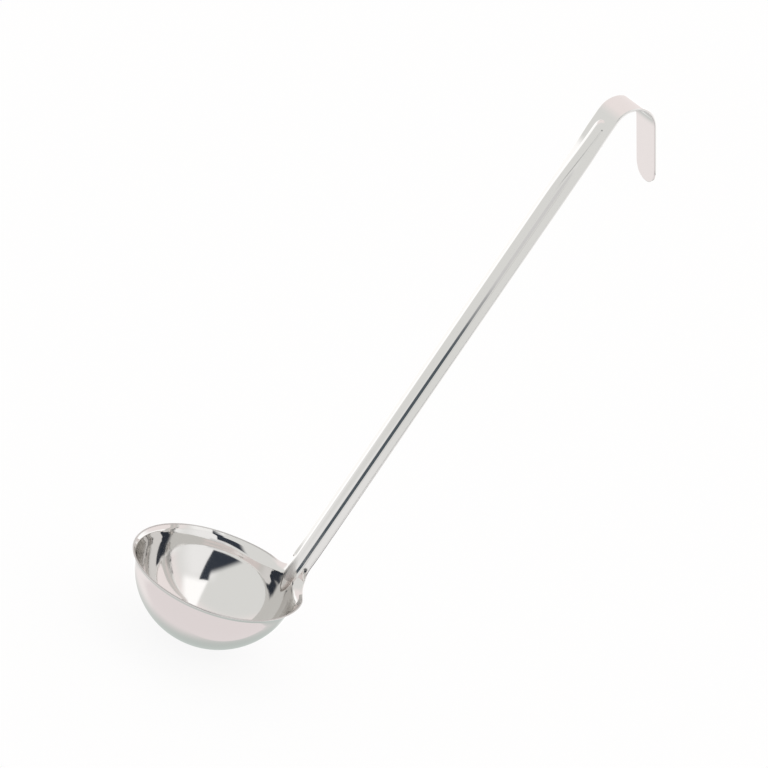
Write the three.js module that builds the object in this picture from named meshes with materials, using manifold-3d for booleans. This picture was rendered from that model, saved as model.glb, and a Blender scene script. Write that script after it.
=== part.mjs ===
// A pressed stainless steel kitchen ladle: a round bowl with a flared lip, a neck that grows out of
// the rim, a ribbed strap handle that leans outwards, and a flat hook bent over backwards at its top.
// Millimetres, +Z up. The origin is the middle of the flat base of the bowl, and the handle leans
// towards +X. The ladle is its own mirror image in the XZ plane.
import * as THREE from "three";
import { mergeVertices } from "three/addons/utils/BufferGeometryUtils.js";
import Module from "manifold-3d";

// Bowl
const RIM_RADIUS = 49; // outer edge of the lip
const BOWL_DEPTH = 42.7; // base to rim, outside
const BOWL_WALL = 1.0; // the sheet is thinned by drawing
const BASE_FLAT_RADIUS = 6; // small flat that the bowl stands on, outside only
const LIP_HEIGHT = 6.4; // the wall flares over this height under the rim
const LIP_FLARE = 3; // how far the lip stands out of the wall under it
const LIP_LEAN = 0.245; // lean of the lip's foot: the flare's share at its curve's middle point

// Handle strap
const SHEET = 1.5;
const STRAP_WIDTH = 20;
const STRAP_LENGTH = 313.5; // rim plane to the start of the bend, along the strap
const STRAP_LEAN = THREE.MathUtils.degToRad(14.25); // outwards from vertical
const STRAP_ROOT_INSET = 2.3; // the strap's middle plane meets the rim plane this far inside the lip

// Rib pressed into the strap: it stands out of the front and leaves a groove in the back
const RIB_RADIUS = 4.6; // outside of the half-round
const RIB_HEIGHT = 3.85; // crest above the strap's front face
const RIB_END_TO_BEND = 3.5; // from the rib's round end to the start of the bend

// Neck
const NECK_LENGTH = 12; // rim plane to the foot of the plain strap
const NECK_FLARE = 2.5; // how much further each side of the neck reaches along the rim

// Hook
const BEND_RADIUS = 13.3; // middle of the sheet
const BEND_ANGLE = THREE.MathUtils.degToRad(138.5);
const TONGUE_LENGTH = 36.6; // end of the bend to the tip

// Sections of the pressing meet on planes, with this gap where those planes are tilted
const SEAM_GAP = 0.3;

// Fineness of the round shapes
const BOWL_SEGMENTS = 72;
const CUP_SEGMENTS = 14;
const LIP_SEGMENTS = 7;
const RIB_SEGMENTS = 28;
const BEND_SEGMENTS = 26;
const TIP_SEGMENTS = 40;
const NECK_ROWS = 8;
const NECK_COLUMNS = 28;

// Polished stainless steel
const BOWL_STEEL = { color: 0xdcdcda, metalness: 1, roughness: 0.08 };
const STRAP_STEEL = { color: 0xd6d5d2, metalness: 1, roughness: 0.14 };

const wasm = await Module();
wasm.setup();

// Solids

function solid(geometry) {
  const bare = geometry.index ? geometry.toNonIndexed() : geometry.clone();
  bare.deleteAttribute("normal");
  bare.deleteAttribute("uv");
  const merged = mergeVertices(bare, 1e-4);
  return new wasm.Manifold(
    new wasm.Mesh({
      numProp: 3,
      vertProperties: merged.attributes.position.array,
      triVerts: new Uint32Array(merged.index.array),
    }),
  );
}

function geometryOf(manifold) {
  const mesh = manifold.getMesh();
  const made = new THREE.BufferGeometry();
  made.setAttribute("position", new THREE.BufferAttribute(mesh.vertProperties, 3));
  made.setIndex(new THREE.BufferAttribute(mesh.triVerts, 1));
  made.computeVertexNormals();
  return made;
}

function piece(name, geometry, steel) {
  const mesh = new THREE.Mesh(geometry, new THREE.MeshStandardMaterial(steel));
  mesh.name = name;
  return mesh;
}

// Bowl: a lathe of the cup's section, which is a sphere cap with a flared lip, and outside a flat base.
// The outer sphere goes through the edge of the flat base and through the foot of the lip.

const LIP_FOOT_RADIUS = RIM_RADIUS - LIP_FLARE;
const LIP_FOOT_Z = BOWL_DEPTH - LIP_HEIGHT;
const CUP_CENTRE_Z =
  (LIP_FOOT_RADIUS ** 2 - BASE_FLAT_RADIUS ** 2 + LIP_FOOT_Z ** 2) / (2 * LIP_FOOT_Z);
const CUP_RADIUS = Math.hypot(BASE_FLAT_RADIUS, CUP_CENTRE_Z);

// One face of the wall as points (radius, z), from an angle on the sphere up to the rim
function wallProfile(sphereRadius, startAngle, rimRadius) {
  const footAngle = Math.asin((LIP_FOOT_Z - CUP_CENTRE_Z) / sphereRadius);
  const footRadius = sphereRadius * Math.cos(footAngle);
  const cup = new THREE.EllipseCurve(
    0, CUP_CENTRE_Z, sphereRadius, sphereRadius, startAngle, footAngle, false,
  );
  const lip = new THREE.QuadraticBezierCurve(
    new THREE.Vector2(footRadius, LIP_FOOT_Z),
    new THREE.Vector2(
      footRadius + LIP_LEAN * (rimRadius - footRadius),
      LIP_FOOT_Z + LIP_HEIGHT / 2,
    ),
    new THREE.Vector2(rimRadius, BOWL_DEPTH),
  );
  return [...cup.getPoints(CUP_SEGMENTS), ...lip.getPoints(LIP_SEGMENTS).slice(1)];
}

function bowlGeometry() {
  const baseAngle = Math.atan2(-CUP_CENTRE_Z, BASE_FLAT_RADIUS);
  const outside = wallProfile(CUP_RADIUS, baseAngle, RIM_RADIUS);
  const inside = wallProfile(CUP_RADIUS - BOWL_WALL, -Math.PI / 2, RIM_RADIUS - BOWL_WALL);
  inside[0].x = 0;
  const base = new THREE.Vector2(0, 0);
  const section = [base, ...outside, ...inside.reverse()];
  return new THREE.LatheGeometry(section, BOWL_SEGMENTS).rotateX(Math.PI / 2);
}

// The strap's own frame: z runs up the strap from the rim plane, y across it, x out of its back

const FRONT_X = -SHEET / 2;
const BACK_X = SHEET / 2;
const RIB_AXIS_X = FRONT_X - RIB_HEIGHT + RIB_RADIUS;
const GROOVE_RADIUS = RIB_RADIUS - SHEET;
const RIB_DOME_Z = STRAP_LENGTH - RIB_END_TO_BEND - RIB_RADIUS; // centre of the rib's round end

function strapToWorld() {
  const frame = new THREE.Matrix4().makeRotationY(STRAP_LEAN);
  return frame.setPosition(RIM_RADIUS - STRAP_ROOT_INSET, 0, BOWL_DEPTH);
}

// A round bar along the rib's axis with a domed top
function ribBar(radius, startZ) {
  const dome = new THREE.EllipseCurve(0, RIB_DOME_Z, radius, radius, 0, Math.PI / 2, false);
  const section = [
    new THREE.Vector2(0, startZ),
    new THREE.Vector2(radius, startZ),
    ...dome.getPoints(RIB_SEGMENTS / 4),
  ];
  section[section.length - 1].x = 0;
  const bar = new THREE.LatheGeometry(section, RIB_SEGMENTS);
  return solid(bar.rotateX(Math.PI / 2).translate(RIB_AXIS_X, 0, 0));
}

function strapGeometry() {
  const startZ = NECK_LENGTH + SEAM_GAP / 2;
  const endZ = STRAP_LENGTH - SEAM_GAP / 2;
  const flat = new THREE.BoxGeometry(SHEET, STRAP_WIDTH, endZ - startZ);
  flat.translate(0, 0, (startZ + endZ) / 2);
  const inFront = new THREE.BoxGeometry(2 * RIB_RADIUS, STRAP_WIDTH, 2 * STRAP_LENGTH);
  inFront.translate(-RIB_RADIUS, 0, STRAP_LENGTH);
  const rib = ribBar(RIB_RADIUS, startZ).intersect(solid(inFront));
  const groove = ribBar(GROOVE_RADIUS, startZ - SHEET);
  return geometryOf(solid(flat).add(rib).subtract(groove));
}

// Hook: the bent strip seen from its edge, extruded to the strap's width, with a round tip

const BEND_CENTRE = new THREE.Vector2(BEND_RADIUS, STRAP_LENGTH); // (x, z) in the strap's frame
const TONGUE_START = new THREE.Vector2(
  BEND_CENTRE.x - BEND_RADIUS * Math.cos(BEND_ANGLE),
  BEND_CENTRE.y + BEND_RADIUS * Math.sin(BEND_ANGLE),
);
const TONGUE_DIRECTION = new THREE.Vector2(Math.sin(BEND_ANGLE), Math.cos(BEND_ANGLE));

// One face of the bent strip: offset is from the middle of the sheet, positive towards its outside
function hookSide(offset) {
  const radius = BEND_RADIUS + offset;
  const bend = new THREE.EllipseCurve(
    BEND_CENTRE.x, BEND_CENTRE.y, radius, radius, Math.PI, Math.PI - BEND_ANGLE, true,
  );
  const outwards = new THREE.Vector2(-TONGUE_DIRECTION.y, TONGUE_DIRECTION.x);
  const tip = TONGUE_START.clone()
    .addScaledVector(TONGUE_DIRECTION, TONGUE_LENGTH)
    .addScaledVector(outwards, offset);
  return [
    new THREE.Vector2(-offset, STRAP_LENGTH + SEAM_GAP / 2),
    ...bend.getPoints(BEND_SEGMENTS).slice(1),
    tip,
  ];
}

// What the tongue's square end loses to become a half circle
function tipCorners() {
  const tipRadius = STRAP_WIDTH / 2;
  const roundCentre = TONGUE_START.clone()
    .addScaledVector(TONGUE_DIRECTION, TONGUE_LENGTH - tipRadius);
  const place = new THREE.Matrix4().makeBasis(
    new THREE.Vector3(0, 1, 0),
    new THREE.Vector3(TONGUE_DIRECTION.x, 0, TONGUE_DIRECTION.y),
    new THREE.Vector3(TONGUE_DIRECTION.y, 0, -TONGUE_DIRECTION.x),
  );
  place.setPosition(roundCentre.x, 0, roundCentre.y);
  const block = new THREE.BoxGeometry(2 * STRAP_WIDTH, STRAP_WIDTH, 4 * SHEET);
  block.translate(0, STRAP_WIDTH / 2, 0);
  const round = new THREE.CylinderGeometry(tipRadius, tipRadius, 6 * SHEET, TIP_SEGMENTS);
  round.rotateX(Math.PI / 2);
  return solid(block.applyMatrix4(place)).subtract(solid(round.applyMatrix4(place)));
}

function hookGeometry() {
  const edge = [...hookSide(SHEET / 2), ...hookSide(-SHEET / 2).reverse()];
  const strip = new THREE.ExtrudeGeometry(new THREE.Shape(edge), {
    depth: STRAP_WIDTH,
    bevelEnabled: false,
  });
  strip.translate(0, 0, -STRAP_WIDTH / 2).rotateX(Math.PI / 2);
  return geometryOf(solid(strip).subtract(tipCorners()));
}

// Neck: a sheet that starts on the rim's edge, curved as the rim is, and ends as the ribbed strap

// x of the strap's front or back face at a distance y from its middle, with the rib or its groove
function strapFaceX(flatX, ribRadius, y) {
  const square = ribRadius ** 2 - y ** 2;
  return square > 0 ? Math.min(flatX, RIB_AXIS_X - Math.sqrt(square)) : flatX;
}

// A point of one face of the neck: across from -1 to 1, up from 0 at the rim to 1 at the strap.
// Each line up the neck leaves the rim upright and joins the strap along its lean.
function neckPoint(face, across, up) {
  const rimAngle = (across * (STRAP_WIDTH / 2 + NECK_FLARE)) / face.rimRadius;
  const foot = new THREE.Vector3(
    face.rimRadius * Math.cos(rimAngle),
    face.rimRadius * Math.sin(rimAngle),
    BOWL_DEPTH,
  );
  const y = (across * STRAP_WIDTH) / 2;
  const topZ = NECK_LENGTH - SEAM_GAP / 2;
  const top = new THREE.Vector3(strapFaceX(face.flatX, face.ribRadius, y), y, topZ);
  top.applyMatrix4(strapToWorld());
  const rise = new THREE.Vector3(0, 0, NECK_LENGTH);
  const run = new THREE.Vector3(Math.sin(STRAP_LEAN), 0, Math.cos(STRAP_LEAN));
  run.multiplyScalar(NECK_LENGTH);
  const u2 = up * up;
  const u3 = u2 * up;
  return new THREE.Vector3()
    .addScaledVector(foot, 2 * u3 - 3 * u2 + 1)
    .addScaledVector(rise, u3 - 2 * u2 + up)
    .addScaledVector(top, 3 * u2 - 2 * u3)
    .addScaledVector(run, u3 - u2);
}

function neckGeometry() {
  const front = { rimRadius: RIM_RADIUS - BOWL_WALL, flatX: FRONT_X, ribRadius: RIB_RADIUS };
  const back = { rimRadius: RIM_RADIUS, flatX: BACK_X, ribRadius: GROOVE_RADIUS };
  const points = [];
  // Each row goes round the section once: across the front, then back across the back
  for (let row = 0; row <= NECK_ROWS; row++) {
    for (let column = 0; column <= NECK_COLUMNS; column++) {
      points.push(neckPoint(front, (2 * column) / NECK_COLUMNS - 1, row / NECK_ROWS));
    }
    for (let column = NECK_COLUMNS; column >= 0; column--) {
      points.push(neckPoint(back, (2 * column) / NECK_COLUMNS - 1, row / NECK_ROWS));
    }
  }
  const around = 2 * (NECK_COLUMNS + 1);
  const faces = [];
  for (let row = 0; row < NECK_ROWS; row++) {
    for (let i = 0; i < around; i++) {
      const a = row * around + i;
      const b = row * around + ((i + 1) % around);
      faces.push(a, a + around, b, b, a + around, b + around);
    }
  }
  // The two ends are strips between the front's and the back's columns
  const lastRow = NECK_ROWS * around;
  for (let column = 0; column < NECK_COLUMNS; column++) {
    const mirror = around - 1 - column;
    faces.push(column, column + 1, mirror, mirror, column + 1, mirror - 1);
    faces.push(lastRow + column, lastRow + mirror, lastRow + column + 1);
    faces.push(lastRow + mirror, lastRow + mirror - 1, lastRow + column + 1);
  }
  return new THREE.BufferGeometry().setFromPoints(points).setIndex(faces);
}

// Assembly

const handle = new THREE.Group();
handle.applyMatrix4(strapToWorld());
handle.add(
  piece("handle_strap", strapGeometry(), STRAP_STEEL),
  piece("hook", hookGeometry(), STRAP_STEEL),
);

const ladle = new THREE.Group();
ladle.add(
  piece("bowl", bowlGeometry(), BOWL_STEEL),
  piece("neck", neckGeometry(), STRAP_STEEL),
  handle,
);

export default ladle;
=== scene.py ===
"""A pressed stainless steel ladle, modelled as the one sheet that it is and cut into its sections.

Metres, +Z up, origin in the middle of the bowl's flat base, handle leaning towards +X.
"""
from math import atan2, cos, hypot, radians, sin, sqrt, tan

import bmesh
import bpy
from mathutils import Matrix, Vector


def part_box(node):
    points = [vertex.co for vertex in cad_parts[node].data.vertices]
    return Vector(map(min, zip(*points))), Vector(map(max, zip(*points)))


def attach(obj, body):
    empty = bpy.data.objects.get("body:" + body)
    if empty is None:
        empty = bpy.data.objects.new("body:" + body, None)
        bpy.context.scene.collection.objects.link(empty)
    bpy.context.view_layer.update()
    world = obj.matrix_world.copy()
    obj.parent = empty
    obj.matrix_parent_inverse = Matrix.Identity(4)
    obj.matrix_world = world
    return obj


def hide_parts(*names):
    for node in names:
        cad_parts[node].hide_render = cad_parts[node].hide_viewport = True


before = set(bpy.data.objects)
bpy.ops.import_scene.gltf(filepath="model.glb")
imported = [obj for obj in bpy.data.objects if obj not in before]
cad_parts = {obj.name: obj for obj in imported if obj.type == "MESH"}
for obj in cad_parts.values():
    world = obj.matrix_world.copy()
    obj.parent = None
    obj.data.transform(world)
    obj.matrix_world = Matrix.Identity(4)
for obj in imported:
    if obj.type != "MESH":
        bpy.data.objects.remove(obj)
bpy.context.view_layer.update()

MM = 0.001

# Sizes from the frame
RIM_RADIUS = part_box("bowl")[1].y
BOWL_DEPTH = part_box("bowl")[1].z
STRAP_WIDTH = 2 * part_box("hook")[1].y

# Bowl
BOWL_WALL = 1.0 * MM
BASE_FLAT_RADIUS = 6 * MM
LIP_HEIGHT = 6.4 * MM
LIP_FLARE = 3 * MM
LIP_BAND = 2.3 * MM  # the part of the lip that leans out most, just under the rim
LIP_BAND_FOOT_LEAN = 0.37  # sideways per upwards, just under that band
TRIMMED_EDGE = 0.4 * MM  # the rim's top, which isn't buffed and is painted greyer as a painted dark reflection line
TRIMMED_EDGE_FADE = 2 * MM  # over which it gives way to the buffed neck
SPHERE_FADE = (3 * MM, 0.5 * MM)  # the cup leaves the exact sphere between these, below the lip

# The lip by the neck, with angles from the neck's middle
LIP_FADE = (radians(5), radians(23))  # the flare grows to its full width between these
LIP_GROWTH = (radians(-10), radians(38))  # and to its full height between these
RIM_BULGE = 1.8 * MM  # the rim is drawn further out on both sides of the neck
RIM_BULGE_FADE = (radians(24), radians(60))  # and less and less between these
RIM_BULGE_POWER = 1.5  # 1 spreads the bulge evenly down the lip, more keeps it near the rim

# Strap, rib and neck
SHEET = 1.5 * MM
STRAP_LENGTH = 313.5 * MM  # rim plane to the start of the bend
STRAP_LEAN = radians(14.25)
ROOT_INSET = 2.3 * MM  # the strap's middle plane meets the rim plane this far inside the rim
RIB_CREST_RADIUS = 4.6 * MM
RIB_HEIGHT = 3.85 * MM
RIB_FLANK = radians(62)  # the rib's straight sides, from the flat of the strap
RIB_FOOT_RADIUS = 0.4 * MM  # hollow curve between the rib and the flat of the strap, in front
FLANGE_TILT = radians(6)  # the flats beside the rib lean back
RIB_END_TO_BEND = 3.3 * MM
RIB_TAIL = (3 * MM, 9 * MM)  # the rib shrinks to a round nose from above the rim to below it
RIB_NOSE_END = 0.02  # share of the rib's size at which that nose stops
RIB_END_SHARE = 0.5  # share of its height that the rib keeps at its round end, under the hook
RIB_END_FADE = 45 * MM  # length over which it gets that low
NECK_LENGTH = 12 * MM
NECK_HALF_ANGLE = radians(20)
NECK_FOLLOW = 0.9  # how much of the lip's lean the neck's sides keep at the rim
NECK_DRAW_IN = 7  # a higher power draws the neck's sides in to the strap's width sooner

# Hook
BEND_RADIUS = 13.3 * MM
BEND_ANGLE = radians(138.5)
TONGUE_LENGTH = 36.6 * MM

# Mesh fineness
RIM_STEPS = 72
NECK_CUTS = 2
BEND_STEPS = 14
SMOOTH_LEVELS = 2

# Rings of the bowl: drops below the rim, closest at the lip's band, then degrees down the cup
LIP_RINGS = [drop * MM for drop in (0.4, 1.2, 1.9, 2.3, 2.7, 3.4, 4.4, 5.4, 6.4, 7.4)]
CUP_RINGS = (17, 21, 27, 34, 41, 48, 55, 62, 69, 75, 81, 86, 89.9)

# Columns of the strap from its middle to its edge, closest where the rib's side is steep
HALF_COLUMNS = [y * MM for y in (1.3, 2.4, 3.3, 3.8, 4.1, 4.4, 4.7, 5.0, 5.6, 7.6, 9.4, 10)]
COLUMNS = [-y for y in reversed(HALF_COLUMNS)] + [0] + HALF_COLUMNS

# Rows of the neck from the rim, of the plain strap, and of the rib's round end from its centre
NECK_ROWS = [up * MM for up in (1.5, 3, 5, 7.5, 10, 12)]
STRAP_ROWS = 16
STRAP_FIRST_ROW = NECK_LENGTH + 10 * MM
STRAP_ROW_STEP = 18 * MM
RIB_END_ROWS = [-2 * MM, 0, *HALF_COLUMNS[:8]]
LAST_ROW_TO_BEND = 0.8 * MM

# Rows of the tongue and of its round tip, as shares of their lengths
TONGUE_ROWS = (0.06, 0.2, 0.5, 0.8, 1.0)
TIP_ROWS = (0.2, 0.4, 0.6, 0.8, 0.95, 1.0)

# The strap's own directions
ALONG = Vector((sin(STRAP_LEAN), 0, cos(STRAP_LEAN)))
BACK = Vector((cos(STRAP_LEAN), 0, -sin(STRAP_LEAN)))
ROOT = Vector((RIM_RADIUS - ROOT_INSET, 0, BOWL_DEPTH))

# The outer sphere of the cup goes through the edge of the flat base and the foot of the lip
LIP_FOOT_RADIUS = RIM_RADIUS - LIP_FLARE
LIP_FOOT_Z = BOWL_DEPTH - LIP_HEIGHT
CUP_CENTRE_Z = (LIP_FOOT_RADIUS**2 - BASE_FLAT_RADIUS**2 + LIP_FOOT_Z**2) / (2 * LIP_FOOT_Z)
CUP_OUTER = hypot(BASE_FLAT_RADIUS, CUP_CENTRE_Z)
CUP_MIDDLE = CUP_OUTER - BOWL_WALL / 2
CUP_INNER = CUP_OUTER - BOWL_WALL
CUP_CENTRE = Vector((0, 0, CUP_CENTRE_Z))

# Half width of the rib at its foot, and the centre of its round end, up the strap
RIB_SIDE = RIB_HEIGHT - (RIB_CREST_RADIUS + RIB_FOOT_RADIUS) * (1 - cos(RIB_FLANK))
RIB_FOOT_Y = (RIB_CREST_RADIUS + RIB_FOOT_RADIUS) * sin(RIB_FLANK) + RIB_SIDE / tan(RIB_FLANK)
RIB_DOME = STRAP_LENGTH - RIB_END_TO_BEND - RIB_FOOT_Y


def smoothstep(low, high, value):
    t = min(1, max(0, (value - low) / (high - low)))
    return t * t * (3 - 2 * t)


def angle_of(point):
    return atan2(point.y, point.x)


def cup_radius(z):
    return sqrt(CUP_MIDDLE**2 - (z - CUP_CENTRE_Z) ** 2)


# Selecting and placing in edit mode

ANGLE_SLACK = radians(0.1)
PLACE_SLACK = 0.01 * MM


def select_edges(sheet, wanted):
    shape = bmesh.from_edit_mesh(sheet.data)
    for edge in shape.edges:
        edge.select_set(all(wanted(vert.co) for vert in edge.verts))
    shape.select_flush_mode()
    bmesh.update_edit_mesh(sheet.data)


def place_selected(sheet, places):
    """Moves the selected row, taken from -Y to +Y, to the given places."""
    shape = bmesh.from_edit_mesh(sheet.data)
    row = sorted((vert for vert in shape.verts if vert.select), key=lambda vert: vert.co.y)
    for vert, place in zip(row, places, strict=True):
        vert.co = place
    bmesh.update_edit_mesh(sheet.data)


def reshape(sheet, place):
    shape = bmesh.from_edit_mesh(sheet.data)
    for vert in shape.verts:
        if vert.select:
            vert.co = place(vert.co)
    bmesh.update_edit_mesh(sheet.data)


# The bowl's part of the sheet


def on_neck(point):
    return abs(angle_of(point)) < NECK_HALF_ANGLE + ANGLE_SLACK


def lip_radius(z):
    """Middle of the lip's sheet: it leaves the cup smoothly, leans out more and more, then flares."""
    rise = max(0, z - LIP_FOOT_Z)
    foot = cup_radius(LIP_FOOT_Z)
    foot_lean = (CUP_CENTRE_Z - LIP_FOOT_Z) / foot
    curve = LIP_HEIGHT - LIP_BAND
    band_foot = foot + curve * (foot_lean + LIP_BAND_FOOT_LEAN) / 2
    if rise < curve:
        return foot + foot_lean * rise + (LIP_BAND_FOOT_LEAN - foot_lean) * rise**2 / (2 * curve)
    return band_foot + (RIM_RADIUS - BOWL_WALL / 2 - band_foot) * (rise - curve) / LIP_BAND


def wall_radius(z, angle):
    """Middle of the wall's sheet: flared in the lip, except where the sheet runs on into the neck."""
    drop = (BOWL_DEPTH - z) / smoothstep(*LIP_GROWTH, abs(angle))
    if drop > LIP_HEIGHT:
        return cup_radius(z)
    level = BOWL_DEPTH - drop
    bulge = RIM_BULGE * (1 - smoothstep(*RIM_BULGE_FADE, abs(angle)))
    bulge *= (1 - drop / LIP_HEIGHT) ** RIM_BULGE_POWER
    flare = lip_radius(level) - cup_radius(level) + bulge
    return cup_radius(z) + flare * smoothstep(*LIP_FADE, abs(angle))


def lip_ring(z):
    chord = (2 + cos(radians(360 / RIM_STEPS))) / 3  # what smoothing takes off a ring of straight steps

    def place(point):
        angle = angle_of(point)
        radius = wall_radius(z, angle)
        if abs(angle) > NECK_HALF_ANGLE:
            radius /= chord
        return Vector((radius * cos(angle), radius * sin(angle), z))

    return place


def cup_ring(dip):
    radius = CUP_MIDDLE * cos(radians(dip))
    z = CUP_CENTRE_Z - CUP_MIDDLE * sin(radians(dip))
    return lambda point: Vector((radius * cos(angle_of(point)), radius * sin(angle_of(point)), z))


def neck_angle(across):
    """Where a column of the strap meets the rim: straight below by the rib, spread out at the sides."""
    straight = STRAP_WIDTH / 2 / RIM_RADIUS
    spread = (NECK_HALF_ANGLE - straight) * smoothstep(RIB_FOOT_Y, STRAP_WIDTH / 2, abs(across))
    return across / RIM_RADIUS + (spread if across > 0 else -spread)


def draw_bowl():
    """A ring for the rim, finer at the neck, extruded ring by ring down to the middle of the base."""
    bpy.ops.mesh.primitive_circle_add(vertices=RIM_STEPS, radius=RIM_RADIUS, location=(0, 0, 0))
    sheet = bpy.context.object
    bpy.ops.object.mode_set(mode="EDIT")
    bpy.ops.mesh.select_mode(type="EDGE")
    select_edges(sheet, on_neck)
    bpy.ops.mesh.subdivide(number_cuts=NECK_CUTS)
    angles = [neck_angle(y) for y in COLUMNS]
    select_edges(sheet, on_neck)
    place_selected(sheet, [Vector((RIM_RADIUS * cos(a), RIM_RADIUS * sin(a), 0)) for a in angles])
    bpy.ops.mesh.select_all(action="SELECT")
    reshape(sheet, lip_ring(BOWL_DEPTH))
    for drop in LIP_RINGS:
        bpy.ops.mesh.extrude_edges_move()
        reshape(sheet, lip_ring(BOWL_DEPTH - drop))
    for dip in CUP_RINGS:
        bpy.ops.mesh.extrude_edges_move()
        reshape(sheet, cup_ring(dip))
    bpy.ops.mesh.merge(type="CENTER")  # the last ring becomes one point
    return sheet


# The strap's part of the sheet


def strap_point(up, across):
    return ROOT + up * ALONG + Vector((0, across, 0))


def neck_rows(foot):
    """Rows from the rim's line to the plain strap. Each column leaves the wall along the wall."""
    below = LIP_RINGS[0]
    for up in NECK_ROWS:
        t = up / NECK_LENGTH
        row = []
        for start, across in zip(foot, COLUMNS):
            top = strap_point(NECK_LENGTH, across)
            angle = angle_of(start)
            lean = (wall_radius(BOWL_DEPTH, angle) - wall_radius(BOWL_DEPTH - below, angle)) / below
            rise = NECK_LENGTH * Vector((NECK_FOLLOW * lean * cos(angle), 0, 1))
            run = NECK_LENGTH * ALONG
            # A cubic curve with these two ends and directions
            point = (2 * t**3 - 3 * t**2 + 1) * start + (t**3 - 2 * t**2 + t) * rise
            point += (3 * t**2 - 2 * t**3) * top + (t**3 - t**2) * run
            point.y = across + (start.y - across) * (1 - t) ** NECK_DRAW_IN
            row.append(point)
        yield row


def strap_rows():
    plain = [STRAP_FIRST_ROW + step * STRAP_ROW_STEP for step in range(STRAP_ROWS)]
    dome = [RIB_DOME + up for up in RIB_END_ROWS]
    for up in [*plain, *dome, STRAP_LENGTH - LAST_ROW_TO_BEND, STRAP_LENGTH]:
        yield [strap_point(up, across) for across in COLUMNS]


def hook_rows():
    centre = strap_point(STRAP_LENGTH, 0) + BEND_RADIUS * BACK
    for step in range(1, BEND_STEPS + 1):
        turn = BEND_ANGLE * step / BEND_STEPS
        arm = BEND_RADIUS * (sin(turn) * ALONG - cos(turn) * BACK)
        yield [centre + arm + Vector((0, across, 0)) for across in COLUMNS]
    start = centre + BEND_RADIUS * (sin(BEND_ANGLE) * ALONG - cos(BEND_ANGLE) * BACK)
    down = cos(BEND_ANGLE) * ALONG + sin(BEND_ANGLE) * BACK
    tip_radius = STRAP_WIDTH / 2
    plain = TONGUE_LENGTH - tip_radius
    for part in TONGUE_ROWS:
        yield [start + part * plain * down + Vector((0, across, 0)) for across in COLUMNS]
    # The round tip: a square patch of rows and columns pressed into a half disc
    for u in TIP_ROWS:
        row = []
        for across in COLUMNS:
            v = across / tip_radius
            reach = plain + tip_radius * u * sqrt(1 - v * v / 2)
            row.append(start + reach * down + Vector((0, tip_radius * v * sqrt(1 - u * u / 2), 0)))
        yield row


def draw_strap(sheet):
    """Extrudes the rim's edge at the neck, row by row, up the strap and over the hook."""
    bpy.ops.mesh.select_all(action="DESELECT")
    select_edges(sheet, lambda p: on_neck(p) and p.z > BOWL_DEPTH - PLACE_SLACK)
    shape = bmesh.from_edit_mesh(sheet.data)
    foot = sorted((vert.co.copy() for vert in shape.verts if vert.select), key=lambda co: co.y)
    for row in [*neck_rows(foot), *strap_rows(), *hook_rows()]:
        bpy.ops.mesh.extrude_edges_move()
        place_selected(sheet, row)


# Thickness, rounding and pressing

SECTIONS = ("bowl", "neck", "handle_strap", "hook")


def section_at(point):
    up = (point - ROOT).dot(ALONG)
    in_front = (point - ROOT).dot(BACK) < BEND_RADIUS / 2
    if point.z < BOWL_DEPTH:
        return 0
    if up < NECK_LENGTH and in_front:
        return 1
    return 2 if up < STRAP_LENGTH and in_front else 3


def thicken(sheet):
    """Gives the sheet its wall, thinner in the drawn bowl, and rounds it all over."""
    bpy.ops.mesh.select_all(action="SELECT")
    bpy.ops.mesh.normals_make_consistent(inside=False)
    bpy.ops.object.mode_set(mode="OBJECT")
    mesh = sheet.data
    lowest = min(mesh.polygons, key=lambda face: face.center.z)
    if lowest.normal.z > 0:
        mesh.flip_normals()
    wall = sheet.vertex_groups.new(name="wall")
    for vert in mesh.vertices:
        share = smoothstep(0, NECK_LENGTH, vert.co.z - BOWL_DEPTH)
        wall.add([vert.index], (BOWL_WALL + (SHEET - BOWL_WALL) * share) / SHEET, "REPLACE")
    for face in mesh.polygons:
        face.material_index = section_at(face.center)
    solid = sheet.modifiers.new("wall", "SOLIDIFY")
    solid.thickness = SHEET
    solid.offset = 0
    solid.vertex_group = "wall"
    solid.use_even_offset = True
    smooth = sheet.modifiers.new("smooth", "SUBSURF")
    smooth.levels = smooth.render_levels = SMOOTH_LEVELS
    for modifier in ("wall", "smooth"):
        bpy.ops.object.modifier_apply(modifier=modifier)


def true_sphere(point):
    """The cup is an exact sphere inside and outside, with a flat under it."""
    arm = point - CUP_CENTRE
    radius = CUP_INNER if arm.length < CUP_MIDDLE else CUP_OUTER
    low, high = SPHERE_FADE
    share = 1 - smoothstep(LIP_FOOT_Z - low, LIP_FOOT_Z - high, point.z)
    exact = CUP_CENTRE + radius * arm.normalized()
    made = point.lerp(exact, share)
    made.z = max(0, made.z)
    return made


def true_rim(mesh):
    """Rounding the edge draws it in a little, so the lip is stretched back out to the rim's size."""
    made = max(hypot(vert.co.x, vert.co.y) for vert in mesh.vertices if vert.co.x < 0)
    for vert in mesh.vertices:
        point = vert.co
        rise = min(1, max(0, (point.z - LIP_FOOT_Z) / LIP_HEIGHT))
        share = smoothstep(*LIP_FADE, abs(angle_of(point)))
        share *= 1 - smoothstep(BOWL_DEPTH, BOWL_DEPTH + NECK_LENGTH / 2, point.z)
        stretch = 1 + (RIM_RADIUS / made - 1) * rise**2 * share
        vert.co = (point.x * stretch, point.y * stretch, point.z)


def rib_rise(distance, crest, foot):
    """Height of the rib at a distance from its middle line: round crest, straight side, round foot."""
    side_top = crest * sin(RIB_FLANK)
    side_end = RIB_FOOT_Y - foot * sin(RIB_FLANK)
    if distance < side_top:
        return RIB_HEIGHT - crest + sqrt(crest**2 - distance**2)
    if distance < side_end:
        return RIB_HEIGHT - crest * (1 - cos(RIB_FLANK)) - (distance - side_top) * tan(RIB_FLANK)
    if distance < RIB_FOOT_Y:
        return foot - sqrt(foot**2 - (RIB_FOOT_Y - distance) ** 2)
    return 0


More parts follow.
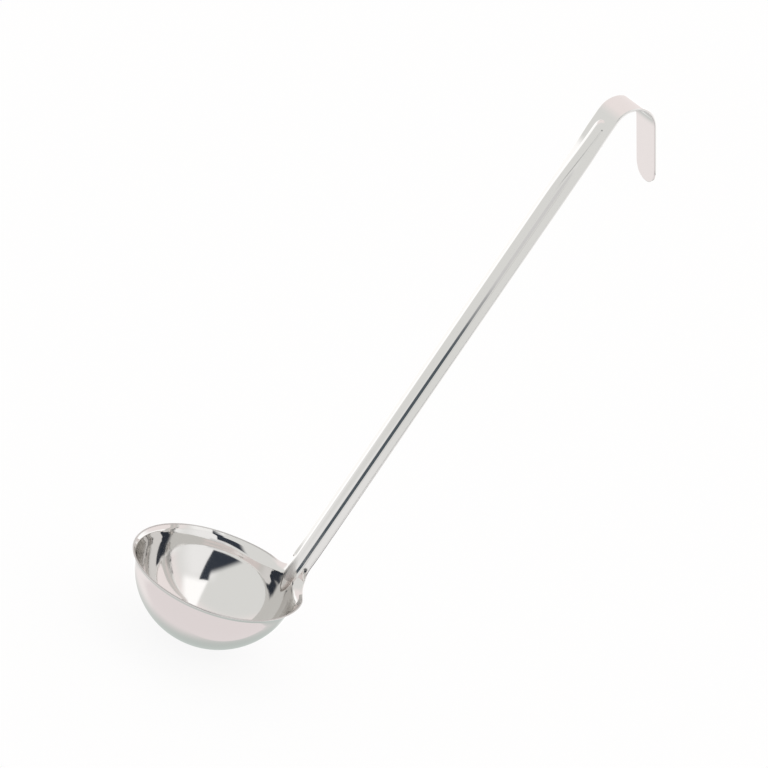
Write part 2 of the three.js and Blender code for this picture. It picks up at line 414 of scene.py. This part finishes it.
def press_at(point, crest, foot):
    """How far the sheet is pressed forwards at a point of it, by the rib and by the flats beside it."""
    if point.z < BOWL_DEPTH:
        # Below the rim the rib runs on down the wall
        if point.x < 0:
            return 0
        up = point.z - BOWL_DEPTH
        across = cup_radius(BOWL_DEPTH) * sin(angle_of(point))
    else:
        if (point - ROOT).dot(BACK) > BEND_RADIUS / 2:
            return 0
        up = (point - ROOT).dot(ALONG)
        across = point.y
    start, stop = RIB_TAIL
    tail = min(1, max(0, (start - up) / (start + stop)))
    size = sqrt(1 - tail**2)
    if size < RIB_NOSE_END:
        return 0
    distance = hypot(across, max(0, up - RIB_DOME))
    crown = smoothstep(NECK_LENGTH / 2, 2 * NECK_LENGTH, up)
    crown *= 1 - smoothstep(RIB_DOME - STRAP_WIDTH, RIB_DOME, up)
    lean_back = crown * tan(FLANGE_TILT) * max(0, abs(across) - RIB_FOOT_Y)
    share = 1 - (1 - RIB_END_SHARE) * smoothstep(RIB_DOME - RIB_END_FADE, RIB_DOME, up)
    return share * size * rib_rise(distance / size, crest, foot) - lean_back


def press_rib(sheet):
    """Presses the rib out of the front, which leaves its groove in the back."""
    mesh = sheet.data
    normals = [vert.normal.copy() for vert in mesh.vertices]
    for vert in mesh.vertices:
        vert.co = true_sphere(vert.co)
    true_rim(mesh)
    for vert, normal in zip(mesh.vertices, normals):
        point = vert.co.copy()
        on_strap = smoothstep(0, NECK_LENGTH, point.z - BOWL_DEPTH)
        forwards = (CUP_CENTRE - point).normalized().lerp(-BACK, on_strap).normalized()
        if normal.dot(forwards) > 0:
            vert.co = point + press_at(point, RIB_CREST_RADIUS, RIB_FOOT_RADIUS) * forwards
        else:
            vert.co = point + press_at(point, RIB_CREST_RADIUS - SHEET, RIB_FOOT_RADIUS + SHEET) * forwards
    mesh.update()


# Materials


def linear(hex_colour):
    channels = [int(hex_colour[i : i + 2], 16) / 255 for i in (1, 3, 5)]
    return [c / 12.92 if c <= 0.04045 else ((c + 0.055) / 1.055) ** 2.4 for c in channels] + [1]


def add_node(tree, kind, settings=(), links=()):
    """Adds a node, sets its fields and sockets, and links named or numbered inputs to outputs."""
    node = tree.nodes.new(kind)
    for name, value in dict(settings).items():
        if hasattr(node, str(name)):
            setattr(node, name, value)
        else:
            node.inputs[name].default_value = value
    for name, source in dict(links).items():
        tree.links.new(source, node.inputs[name])
    return node


STEEL = "#e1dfdd"
POLISH_LINE = 0.7 * MM  # real buffing lines are finer; these are as fine as still shows
POLISH_LINE_RUN = 60 * MM
POLISH_DEPTH = 0.003 * MM
WAVE_LENGTH = 15 * MM
WAVE_DEPTH = 0.02 * MM
CLOUD_LENGTH = 25 * MM
CLOUD_NOISE = (0.35, 0.65)  # most of the noise lies between these
CLOUD_ROUGHNESS = (0.03, 0.08)  # where the polish is clearest and dullest
# Painted greyer than the steel: a painted dark reflection line along the rim's cut edge. The edge's real
# dullness is the roughness below.
TRIMMED_STEEL_PAINTED_DARK = "#bebcba"
TRIMMED_ROUGHNESS = 0.35


def polished_steel():
    """Pressed stainless steel, mirror polished: a clear mirror with the buffing wheel's faint lines.

    The bowl was buffed spinning, so its lines are rings. The strap was buffed lengthwise.
    """
    material = bpy.data.materials.new("polished_stainless_steel")
    material.use_nodes = True
    tree = material.node_tree
    shader = tree.nodes["Principled BSDF"]
    shader.inputs["Metallic"].default_value = 1
    place = add_node(tree, "ShaderNodeTexCoord").outputs["Object"]
    # Lines along the strap
    turned = add_node(
        tree, "ShaderNodeVectorRotate", {"rotation_type": "Y_AXIS", "Angle": -STRAP_LEAN}, {"Vector": place}
    )
    stretch = (1 / POLISH_LINE, 1 / POLISH_LINE, 1 / POLISH_LINE_RUN)
    lengthwise = add_node(
        tree, "ShaderNodeVectorMath", {"operation": "MULTIPLY", 1: stretch}, {0: turned.outputs[0]}
    )
    # Rings in the bowl, by distance from its axis and height
    parts = add_node(tree, "ShaderNodeSeparateXYZ", {}, {0: place})
    flat = add_node(tree, "ShaderNodeVectorMath", {"operation": "MULTIPLY", 1: (1, 1, 0)}, {0: place})
    radius = add_node(tree, "ShaderNodeVectorMath", {"operation": "LENGTH"}, {0: flat.outputs[0]})
    ring = add_node(
        tree, "ShaderNodeCombineXYZ", {}, {"X": radius.outputs["Value"], "Z": parts.outputs["Z"]}
    )
    rings = add_node(
        tree, "ShaderNodeVectorMath", {"operation": "SCALE", "Scale": 1 / POLISH_LINE}, {0: ring.outputs[0]}
    )
    above_rim = add_node(
        tree,
        "ShaderNodeMapRange",
        {"From Min": BOWL_DEPTH - LIP_HEIGHT, "From Max": BOWL_DEPTH + NECK_LENGTH},
        {"Value": parts.outputs["Z"]},
    )
    line = {"Scale": 1, "Detail": 2}
    bowl_lines = add_node(tree, "ShaderNodeTexNoise", line, {"Vector": rings.outputs[0]})
    strap_lines = add_node(tree, "ShaderNodeTexNoise", line, {"Vector": lengthwise.outputs[0]})
    lines = add_node(
        tree, "ShaderNodeMix", {},
        {0: above_rim.outputs[0], 2: bowl_lines.outputs[0], 3: strap_lines.outputs[0]},
    )
    # The pressing's slight waves under the lines
    waves = add_node(
        tree, "ShaderNodeTexNoise", {"Scale": 1 / WAVE_LENGTH, "Detail": 0}, {"Vector": place}
    )
    wavy = add_node(
        tree, "ShaderNodeBump", {"Strength": 1, "Distance": WAVE_DEPTH}, {"Height": waves.outputs[0]}
    )
    buffed = add_node(
        tree, "ShaderNodeBump", {"Strength": 1, "Distance": POLISH_DEPTH},
        {"Height": lines.outputs[0], "Normal": wavy.outputs[0]},
    )
    tree.links.new(buffed.outputs[0], shader.inputs["Normal"])
    # Clouds where the polish is a little duller
    clouds = add_node(
        tree, "ShaderNodeTexNoise", {"Scale": 1 / CLOUD_LENGTH, "Detail": 3}, {"Vector": place}
    )
    dull = add_node(
        tree,
        "ShaderNodeMapRange",
        {
            "From Min": CLOUD_NOISE[0],
            "From Max": CLOUD_NOISE[1],
            "To Min": CLOUD_ROUGHNESS[0],
            "To Max": CLOUD_ROUGHNESS[1],
        },
        {"Value": clouds.outputs[0]},
    )
    # The rim's trimmed edge: duller because it isn't buffed, and painted greyer as a painted dark
    # reflection line along the rim
    on_top = add_node(
        tree,
        "ShaderNodeMapRange",
        {"From Min": BOWL_DEPTH - TRIMMED_EDGE, "From Max": BOWL_DEPTH - TRIMMED_EDGE / 2},
        {"Value": parts.outputs["Z"]},
    )
    neck_side = RIM_RADIUS * cos(NECK_HALF_ANGLE)
    off_neck = add_node(
        tree,
        "ShaderNodeMapRange",
        {"From Min": neck_side, "From Max": neck_side - TRIMMED_EDGE_FADE},
        {"Value": parts.outputs["X"]},
    )
    trimmed_and_painted_dark = add_node(
        tree, "ShaderNodeMath", {"operation": "MULTIPLY"}, {0: on_top.outputs[0], 1: off_neck.outputs[0]}
    ).outputs[0]
    colours = {"data_type": "RGBA", 6: linear(STEEL), 7: linear(TRIMMED_STEEL_PAINTED_DARK)}
    colour = add_node(tree, "ShaderNodeMix", colours, {0: trimmed_and_painted_dark})
    tree.links.new(colour.outputs[2], shader.inputs["Base Color"])
    finish = add_node(tree, "ShaderNodeMix", {3: TRIMMED_ROUGHNESS}, {0: trimmed_and_painted_dark, 2: dull.outputs[0]})
    tree.links.new(finish.outputs[0], shader.inputs["Roughness"])
    return material


# Cutting the sheet into its sections


def cut_sections(sheet):
    """Separates the sections, closes their ends and keeps the whole sheet's smooth shading."""
    mesh = sheet.data
    mesh.shade_smooth()
    keep = mesh.attributes.new("sheet_normal", "FLOAT_VECTOR", "POINT")
    for vert in mesh.vertices:
        keep.data[vert.index].vector = vert.normal
    steel = polished_steel()
    for name in SECTIONS:
        mesh.materials.append(bpy.data.materials.new(name))
    bpy.ops.object.mode_set(mode="EDIT")
    bpy.ops.mesh.separate(type="MATERIAL")
    bpy.ops.object.mode_set(mode="OBJECT")
    for piece in list(bpy.context.selected_objects):
        mesh = piece.data
        name = mesh.materials[mesh.polygons[0].material_index].name
        piece.name = "steel_" + name
        close_ends(piece)
        mesh.materials.clear()
        mesh.materials.append(steel)
        for face in mesh.polygons:
            face.material_index = 0
        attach(piece, "root")
        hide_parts(name)


def close_ends(piece):
    mesh = piece.data
    open_faces = len(mesh.polygons)
    bpy.ops.object.select_all(action="DESELECT")
    piece.select_set(True)
    bpy.context.view_layer.objects.active = piece
    bpy.ops.object.mode_set(mode="EDIT")
    bpy.ops.mesh.select_all(action="SELECT")
    bpy.ops.mesh.fill_holes(sides=0)
    bpy.ops.object.mode_set(mode="OBJECT")
    keep = mesh.attributes["sheet_normal"]
    normals = [None] * len(mesh.loops)
    for face in mesh.polygons:
        for loop in face.loop_indices:
            vertex = mesh.loops[loop].vertex_index
            normals[loop] = keep.data[vertex].vector if face.index < open_faces else face.normal
    mesh.normals_split_custom_set([tuple(normal) for normal in normals])


# Camera

CAMERA_AZIMUTH = radians(-33.7)
CAMERA_ELEVATION = radians(20.28)
CAMERA_ROLL = radians(22.25)
CAMERA_DISTANCE = 1123 * MM
CAMERA_AIM = Vector((61.3, 0, 216.3)) * MM
CAMERA_SLIDE = (-20.92 * MM, -38.96 * MM)  # rightwards and upwards in the picture
CAMERA_LENS = 97.36
CAMERA_SENSOR = 36
CAMERA_REACH = 50  # the furthest that it sees


def set_camera():
    camera = bpy.data.objects.new("camera", bpy.data.cameras.new("camera"))
    bpy.context.collection.objects.link(camera)
    camera.data.lens = CAMERA_LENS
    camera.data.sensor_width = CAMERA_SENSOR
    camera.data.clip_end = CAMERA_REACH
    flat = cos(CAMERA_ELEVATION)
    behind = Vector((sin(CAMERA_AZIMUTH) * flat, -cos(CAMERA_AZIMUTH) * flat, sin(CAMERA_ELEVATION)))
    level = Vector((cos(CAMERA_AZIMUTH), sin(CAMERA_AZIMUTH), 0))
    upright = behind.cross(level)
    right = cos(CAMERA_ROLL) * level + sin(CAMERA_ROLL) * upright
    above = cos(CAMERA_ROLL) * upright - sin(CAMERA_ROLL) * level
    place = CAMERA_AIM + CAMERA_SLIDE[0] * right + CAMERA_SLIDE[1] * above + CAMERA_DISTANCE * behind
    axes = Matrix((right, above, behind)).transposed()
    camera.matrix_world = Matrix.LocRotScale(place, axes.to_quaternion(), None)
    bpy.context.scene.camera = camera


# Studio: a white light tent with brighter panels and a dark gap where the lens looks in


def towards(azimuth, elevation):
    flat = cos(radians(elevation))
    return Vector((flat * cos(radians(azimuth)), flat * sin(radians(azimuth)), sin(radians(elevation))))


def beyond_azimuth(azimuth, soft):
    """The half of the sky anticlockwise of an azimuth, with an edge so many degrees soft."""
    return towards(azimuth + 90, 0), -sin(radians(soft)), sin(radians(soft))


def before_azimuth(azimuth, soft):
    return towards(azimuth - 90, 0), -sin(radians(soft)), sin(radians(soft))


def above_elevation(elevation, soft):
    return Vector((0, 0, 1)), sin(radians(elevation - soft)), sin(radians(elevation + soft))


def below_elevation(elevation, soft):
    return Vector((0, 0, -1)), sin(radians(-elevation - soft)), sin(radians(-elevation + soft))


def azimuths(start, start_soft, stop, stop_soft):
    """A slice of the sky, anticlockwise from one azimuth to another less than half a turn away."""
    return [beyond_azimuth(start, start_soft), before_azimuth(stop, stop_soft)]


def elevations(low, low_soft, high, high_soft):
    """A level band of the sky."""
    return [above_elevation(low, low_soft), below_elevation(high, high_soft)]


def around(azimuth, elevation, inner, outer):
    """A round patch of the sky, soft between two angles from its middle."""
    return towards(azimuth, elevation), cos(radians(outer)), cos(radians(inner))


def beside_line(start, stop, inside, soft):
    """The half of the sky that holds one direction, beside the straight line between two others."""
    normal = towards(*start).cross(towards(*stop)).normalized()
    if normal.dot(towards(*inside)) < 0:
        normal.negate()
    return normal, -sin(radians(soft)), sin(radians(soft))


def tent_panel(tree, direction, under, sides, colour, strength):
    """Lays a panel of the tent, bounded by its sides, over what is already there."""
    share = None
    for axis, low, high in sides:
        facing = add_node(
            tree, "ShaderNodeVectorMath", {"operation": "DOT_PRODUCT", 1: axis}, {0: direction}
        )
        edge = add_node(
            tree,
            "ShaderNodeMapRange",
            {"interpolation_type": "SMOOTHSTEP", "From Min": low, "From Max": high},
            {"Value": facing.outputs["Value"]},
        )
        inside = edge.outputs[0]
        if share is not None:
            both = add_node(tree, "ShaderNodeMath", {"operation": "MULTIPLY"}, {0: share, 1: inside})
            inside = both.outputs[0]
        share = inside
    tone = [strength * channel for channel in linear(colour)[:3]] + [1]
    mix = add_node(tree, "ShaderNodeMix", {"data_type": "RGBA", 7: tone}, {0: share, 6: under})
    return mix.outputs[2]


TENT = "#fdfefc"
TENT_LEVEL = 0.9  # the plain tent; 1 is white
WHITE = "#ffffff"
GAP_DARK = "#3c424c"
TABLE_EDGE_DARK = "#5c666e"


def tent_panels():
    """Each panel's sides in degrees, its colour and its strength, in the order that they are laid."""
    soft_box = (-71, 65)
    gap = (-115, 25)
    gap_edge = beside_line((-105.5, 11), (-90.5, 51), gap, 0.8)
    table_front = azimuths(-119, 4, -96, 2)
    return [
        # The table under the ladle: faintly pink, darker and greener behind the bowl
        ([below_elevation(-22, 8)], "#fff7f8", 0.95),
        ([around(103, -38, 6, 24)], "#fff9f9", 1.05),
        ([around(45, -52, 6, 43), beyond_azimuth(-1, 1.5)], "#f5fefa", 0.66),
        # The wall and ceiling behind the ladle, and the lit sweep below them
        ([above_elevation(13, 6), *azimuths(-50, 15, 125, 10)], "#fff7f6", 1.05),
        (elevations(-32, 4, 14, 6) + azimuths(-45, 25, 121, 3), WHITE, 1.33),
        ([*elevations(-18, 4, -2.5, 2), beyond_azimuth(128, 5)], WHITE, 1.0),
        # The tent wall beside the lens, and the soft box overhead
        (elevations(2, 6, 52, 10) + azimuths(-120, 8, -62, 16), WHITE, 1.07),
        (
            [
                beside_line((-109, 56), (-14, 82), soft_box, 2),
                beside_line((-57, 45), (-33, 60), soft_box, 6),
                beside_line((-57, 45), (-90, 53), soft_box, 6),
            ],
            WHITE, 1.33,
        ),
        # The gap where the lens looks in, with one straight edge and a tail that runs up to the soft box
        (
            [gap_edge, beside_line((-150, 8), (-110, 42), gap, 5), above_elevation(10, 1)],
            GAP_DARK, 0.95,
        ),
        ([gap_edge, *azimuths(-110.5, 2, -45, 5), *elevations(25, 6, 53.5, 1)], GAP_DARK, 0.95),
        # The table in front of the ladle, brightly lit, then its front edge: greyer above, dark below
        (elevations(-24, 3, -13, 1) + azimuths(-160, 4, -96, 3), WHITE, 1.3),
        (table_front + elevations(-8, 2, 8, 2), WHITE, 0.79),
        (table_front + elevations(-13, 0.5, -4.2, 1.2), TABLE_EDGE_DARK, 0.9),
        # The table's edge on the right
        (azimuths(-80, 6, -32, 6) + elevations(-36, 3, -25, 1.5), TABLE_EDGE_DARK, 0.9),
    ]


def light_tent():
    world = bpy.context.scene.world or bpy.data.worlds.new("world")
    bpy.context.scene.world = world
    world.use_nodes = True
    tree = world.node_tree
    tree.nodes.clear()
    direction = add_node(tree, "ShaderNodeTexCoord").outputs["Generated"]
    base = add_node(tree, "ShaderNodeRGB")
    base.outputs[0].default_value = [TENT_LEVEL * channel for channel in linear(TENT)]
    sky = base.outputs[0]
    for sides, colour, strength in tent_panels():
        sky = tent_panel(tree, direction, sky, sides, colour, strength)
    path = add_node(tree, "ShaderNodeLightPath")
    shown = add_node(
        tree, "ShaderNodeMix", {"data_type": "RGBA", 7: (1, 1, 1, 1)},
        {0: path.outputs["Is Camera Ray"], 6: sky},
    )
    light = add_node(tree, "ShaderNodeBackground", {}, {"Color": shown.outputs[2]})
    add_node(tree, "ShaderNodeOutputWorld", {}, {"Surface": light.outputs[0]})


FLOOR_SIZE = 6
FLOOR_GLOW = 0.85  # share of the floor's white that no shadow reaches


def white_floor():
    bpy.ops.mesh.primitive_plane_add(size=FLOOR_SIZE)
    floor = bpy.context.object
    floor.name = "floor"
    paper = bpy.data.materials.new("white_paper")
    paper.use_nodes = True
    tree = paper.node_tree
    tree.nodes.clear()
    matt = add_node(tree, "ShaderNodeBsdfDiffuse", {"Color": linear(WHITE)})
    glow = add_node(tree, "ShaderNodeEmission", {"Color": (1, 1, 1, 1), "Strength": 1})
    path = add_node(tree, "ShaderNodeLightPath")
    share = add_node(
        tree, "ShaderNodeMath", {"operation": "MULTIPLY", 1: FLOOR_GLOW}, {0: path.outputs["Is Camera Ray"]}
    )
    mix = add_node(
        tree, "ShaderNodeMixShader", {}, {0: share.outputs[0], 1: matt.outputs[0], 2: glow.outputs[0]}
    )
    add_node(tree, "ShaderNodeOutputMaterial", {}, {"Surface": mix.outputs[0]})
    floor.data.materials.append(paper)
    floor.visible_glossy = False  # the steel mirrors the tent instead, all the way round


def main():
    bpy.ops.object.select_all(action="DESELECT")
    set_camera()
    sheet = draw_bowl()
    draw_strap(sheet)
    thicken(sheet)
    press_rib(sheet)
    cut_sections(sheet)
    light_tent()
    white_floor()
    bpy.context.scene.view_settings.view_transform = "Standard"
    bpy.context.scene.cycles.glossy_bounces = 12  # light inside the bowl is mirrored many times


main()
